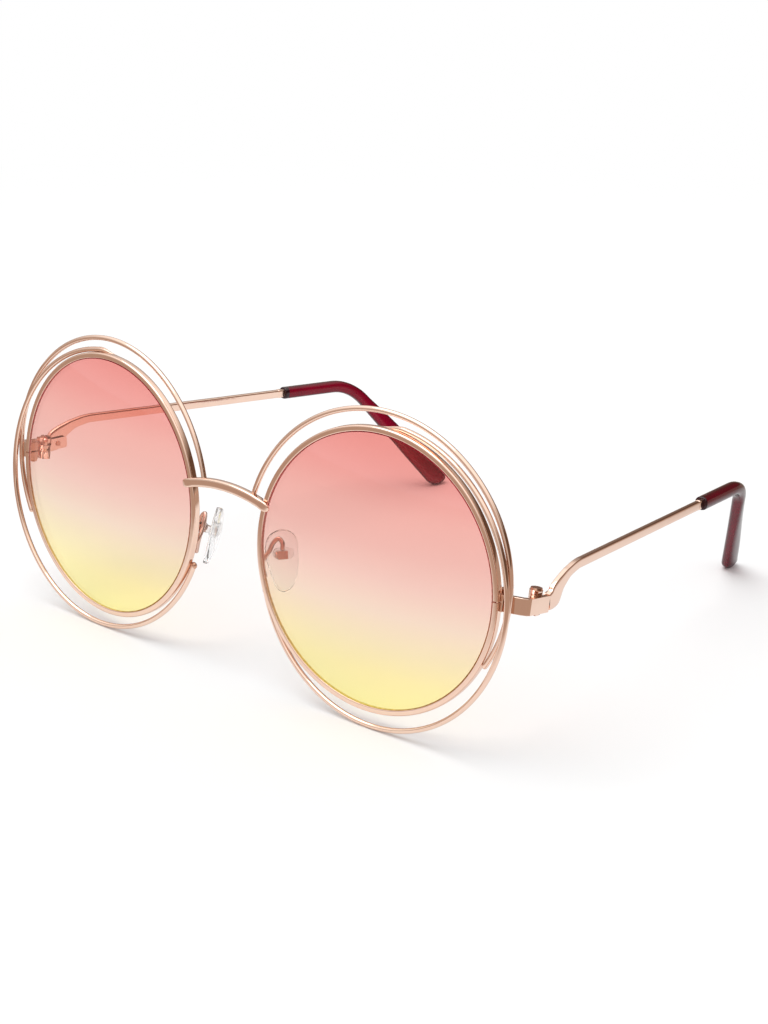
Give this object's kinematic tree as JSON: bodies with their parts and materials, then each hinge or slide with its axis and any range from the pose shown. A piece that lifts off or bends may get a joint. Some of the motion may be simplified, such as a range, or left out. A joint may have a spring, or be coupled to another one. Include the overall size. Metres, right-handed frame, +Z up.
{
  "type": "sunglasses",
  "caption": "Oversized round wire sunglasses in rose gold, with a halo of wires round pink-to-yellow tinted lenses and burgundy ear tips.",
  "frame": {"origin": "on the floor, midway between the two lenses and midway between the front of the lenses and the back of the ear tips", "axes": "+X towards the left of the person who wears them, +Y back towards the ear tips, +Z up, with the temples open and the glasses standing on the lower wires and ear tips"},
  "size_m": [0.1526, 0.1388, 0.0687],
  "materials": {
    "gold": "polished rose-gold plating on nickel alloy",
    "fasteners": "rose-gold plated steel, satin",
    "lens": "clear polycarbonate, tinted from rose at the top to yellow at the bottom",
    "acetate": "polished, slightly see-through burgundy acetate",
    "silicone": "clear soft silicone"
  },
  "bodies": {
    "front": {"bridge": "gold", "left_rim": "gold", "right_rim": "gold", "left_lens": "lens", "right_lens": "lens", "left_upper_wire": "gold", "right_upper_wire": "gold", "left_lower_wire": "gold", "right_lower_wire": "gold", "left_endpiece": "gold", "right_endpiece": "gold", "left_upper_lock": "fasteners", "right_upper_lock": "fasteners", "left_lower_lock": "fasteners", "right_lower_lock": "fasteners", "left_rim_screw": "fasteners", "right_rim_screw": "fasteners", "left_front_hinge": "gold", "right_front_hinge": "gold", "left_hinge_screw": "fasteners", "right_hinge_screw": "fasteners", "left_pad_arm": "gold", "right_pad_arm": "gold", "left_pad_box": "gold", "right_pad_box": "gold", "left_pad_screw": "fasteners", "right_pad_screw": "fasteners"},
    "temple_left": {"left_temple": "gold", "left_temple_hinge": "gold", "left_temple_rivet": "fasteners", "left_ear_tip": "acetate"},
    "temple_right": {"right_temple": "gold", "right_temple_hinge": "gold", "right_temple_rivet": "fasteners", "right_ear_tip": "acetate"},
    "pad_left": {"left_nose_pad": "silicone", "left_pad_insert": "gold"},
    "pad_right": {"right_nose_pad": "silicone", "right_pad_insert": "gold"}
  },
  "joints": [
    {"name": "left_temple_fold", "type": "hinge", "parent": "front", "child": "temple_left", "pos_m": [0.0736, -0.05446, 0.03336], "axis": [0, 0.165, 0.9863], "range_deg": [0, 81]},
    {"name": "right_temple_fold", "type": "hinge", "parent": "front", "child": "temple_right", "pos_m": [-0.0736, -0.05446, 0.03336], "axis": [0, -0.165, -0.9863], "range_deg": [0, 74]},
    {"name": "left_pad_rock", "type": "hinge", "parent": "front", "child": "pad_left", "pos_m": [0.0123, -0.06237, 0.02991], "axis": [0.5, 0.8648, -0.0468], "range_deg": [-10, 10]},
    {"name": "right_pad_rock", "type": "hinge", "parent": "front", "child": "pad_right", "pos_m": [-0.0123, -0.06237, 0.02991], "axis": [0.5, -0.8648, 0.0468], "range_deg": [-10, 10]}
  ]
}
